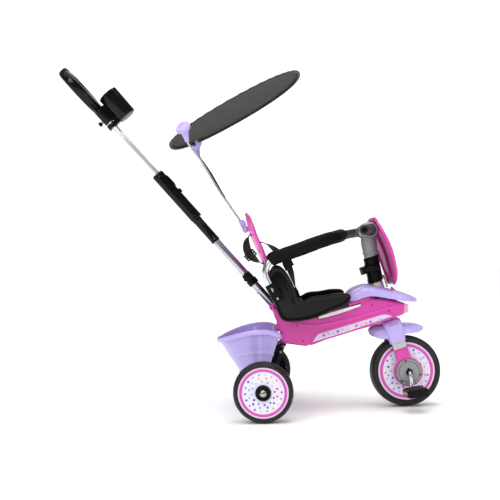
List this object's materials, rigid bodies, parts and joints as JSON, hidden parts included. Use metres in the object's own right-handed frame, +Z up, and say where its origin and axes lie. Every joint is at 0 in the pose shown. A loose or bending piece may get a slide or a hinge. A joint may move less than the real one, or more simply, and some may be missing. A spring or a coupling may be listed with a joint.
{
  "type": "children's push tricycle",
  "caption": "Child's tricycle with parent push bar, sun canopy, safety ring, bucket seat, rear basket, cup holder and pedals on the front wheel.",
  "frame": {"origin": "middle of the overall footprint, on the floor the wheels stand on", "axes": "+X points forward, the way the tricycle rides; +Y to the rider's left; +Z up"},
  "size_m": [1.0684, 0.494, 0.9842],
  "materials": {
    "pink_plastic": "glossy",
    "pale_pink_plastic": "glossy",
    "lilac_plastic": "glossy",
    "black_plastic": "glossy",
    "tyre_rubber": "matte",
    "foam_cover": "matte",
    "canopy_fabric": "matte woven",
    "webbing": "woven",
    "grey_plastic": "satin",
    "dark_grip": "matte",
    "steel": "polished",
    "wheel_plastic": "glossy"
  },
  "bodies": {
    "frame": {"rear_axle": "steel", "rear_bracket": "black_plastic", "body_frame": "pink_plastic", "front_cap": "pale_pink_plastic", "top_cover": "lilac_plastic", "seat_shell": "black_plastic", "seat_back": "pink_plastic", "harness_left": "webbing", "harness_right": "webbing", "harness_buckle": "black_plastic", "rear_strap": "webbing", "ring_socket_left": "black_plastic", "ring_socket_right": "black_plastic", "basket": "lilac_plastic", "push_tube_lower": "steel", "push_collar": "black_plastic", "push_sleeve": "black_plastic", "push_housing": "black_plastic", "strut_left": "steel", "canopy_clamp_left": "lilac_plastic", "strut_right": "steel", "canopy_clamp_right": "lilac_plastic", "canopy_bracket": "lilac_plastic"},
    "rear_wheel_left": {"rear_tyre_left": "tyre_rubber", "rear_rim_left": "wheel_plastic", "rear_hub_left": "black_plastic", "rear_cap_left": "steel"},
    "rear_wheel_right": {"rear_tyre_right": "tyre_rubber", "rear_rim_right": "wheel_plastic", "rear_hub_right": "black_plastic", "rear_cap_right": "steel"},
    "steering": {"fork_stem": "steel", "fork_crown": "lilac_plastic", "fork_leg_left": "pink_plastic", "fork_leg_right": "pink_plastic", "hub_cover_left": "grey_plastic", "hub_cover_right": "grey_plastic", "column_clamp": "black_plastic", "handlebar_hub": "grey_plastic", "handlebar": "steel", "grip_left": "dark_grip", "grip_right": "dark_grip", "shield": "pink_plastic", "shield_stay": "steel"},
    "front_wheel": {"front_tyre": "tyre_rubber", "front_rim": "wheel_plastic"},
    "crank": {"crank": "steel"},
    "pedal_left": {"pedal_left": "black_plastic"},
    "pedal_right": {"pedal_right": "black_plastic"},
    "clamp_lever": {"clamp_lever": "black_plastic"},
    "push_bar_upper": {"push_tube_upper": "steel", "handle_loop": "black_plastic", "cup_holder": "black_plastic"},
    "handle_knob": {"handle_knob": "black_plastic"},
    "release_button": {"release_button": "black_plastic"},
    "push_knob": {"push_knob": "black_plastic"},
    "canopy": {"canopy_hoop": "steel", "canopy_cloth": "canopy_fabric"},
    "safety_ring": {"ring_tube": "steel", "ring_foam": "foam_cover"}
  },
  "joints": [
    {"name": "rear_wheel_left_spin", "type": "hinge", "parent": "frame", "child": "rear_wheel_left", "pos_m": [0.03224, 0.211, 0.08], "axis": [0, 1, 0], "continuous": true},
    {"name": "rear_wheel_right_spin", "type": "hinge", "parent": "frame", "child": "rear_wheel_right", "pos_m": [0.03224, -0.211, 0.08], "axis": [0, 1, 0], "continuous": true},
    {"name": "steering_turn", "type": "hinge", "parent": "frame", "child": "steering", "pos_m": [0.43424, 0, 0.1004], "axis": [-0.2924, 0, 0.9563], "range_deg": [-29.5, 18.5]},
    {"name": "front_wheel_spin", "type": "hinge", "parent": "steering", "child": "front_wheel", "pos_m": [0.43424, 0, 0.1004], "axis": [-0.0917, 0.9954, -0.028], "continuous": true},
    {"name": "crank_spin", "type": "hinge", "parent": "steering", "child": "crank", "pos_m": [0.43424, 0, 0.1004], "axis": [-0.0917, 0.9954, -0.028], "continuous": true},
    {"name": "pedal_left_spin", "type": "hinge", "parent": "crank", "child": "pedal_left", "pos_m": [0.42122, 0.10555, 0.14533], "axis": [-0.0917, 0.9954, -0.028], "continuous": true},
    {"name": "pedal_right_spin", "type": "hinge", "parent": "crank", "child": "pedal_right", "pos_m": [0.44726, -0.10555, 0.05547], "axis": [-0.0917, 0.9954, -0.028], "continuous": true},
    {"name": "clamp_lever_swing", "type": "hinge", "parent": "steering", "child": "clamp_lever", "pos_m": [0.32225, -0.01932, 0.38719], "axis": [-0.2924, 0, 0.9563], "range_deg": [-100, 0]},
    {"name": "push_bar_slide", "type": "slide", "parent": "frame", "child": "push_bar_upper", "axis": [0.6521, 0, -0.7581], "range_m": [0, 0.12]},
    {"name": "handle_knob_turn", "type": "hinge", "parent": "push_bar_upper", "child": "handle_knob", "pos_m": [-0.42082, 0, 0.82578], "axis": [-0.7581, 0, -0.6521], "continuous": true},
    {"name": "release_button_press", "type": "slide", "parent": "frame", "child": "release_button", "axis": [-0.7581, 0, -0.6521], "range_m": [0, 0.0025], "stiffness_N_per_m": 300, "springref_m": -0.001},
    {"name": "push_knob_turn", "type": "hinge", "parent": "frame", "child": "push_knob", "pos_m": [-0.00788, -0.022, 0.37636], "axis": [0, -1, 0], "continuous": true},
    {"name": "canopy_tilt", "type": "hinge", "parent": "frame", "child": "canopy", "pos_m": [-0.16543, 0, 0.78052], "axis": [0, 1, 0], "range_deg": [-12, 12]},
    {"name": "safety_ring_lift", "type": "slide", "parent": "frame", "child": "safety_ring", "axis": [-0.4701, 0, 0.8826], "range_m": [0, 0.03]}
  ],
  "couplings": [
    {"joint": "crank_spin", "follows": "front_wheel_spin", "ratio": 1}
  ]
}
